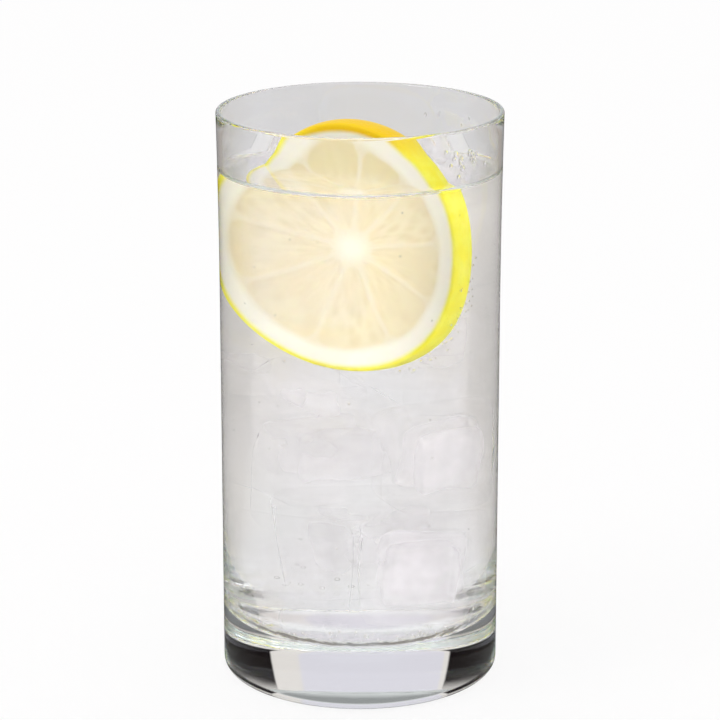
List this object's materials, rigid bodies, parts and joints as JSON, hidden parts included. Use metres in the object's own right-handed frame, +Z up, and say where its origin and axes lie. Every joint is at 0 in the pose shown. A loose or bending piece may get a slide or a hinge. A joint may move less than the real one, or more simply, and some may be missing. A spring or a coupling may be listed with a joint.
{
  "type": "vodka soda",
  "caption": "Straight tall tumbler of clear sparkling drink with ice and a round lemon slice standing upright inside it.",
  "frame": {"origin": "middle of the glass's underside, in the plane that it stands on", "axes": "+Z up through the mouth; the lemon slice's front face looks towards -Y and a little to -X"},
  "size_m": [0.0662, 0.0662, 0.135],
  "materials": {
    "clear_glass": "clear fire-polished soda-lime glass",
    "clear_drink": "clear sparkling water and spirit",
    "lemon": "wet lemon: yellow dimpled zest, white pith, pale juicy pulp",
    "ice": "melting ice with a cloudy heart",
    "bubbles": "small gas bubbles"
  },
  "bodies": {
    "root": {"tumbler": "clear_glass", "drink": "clear_drink", "lemon_slice": "lemon"}
  },
  "joints": []
}
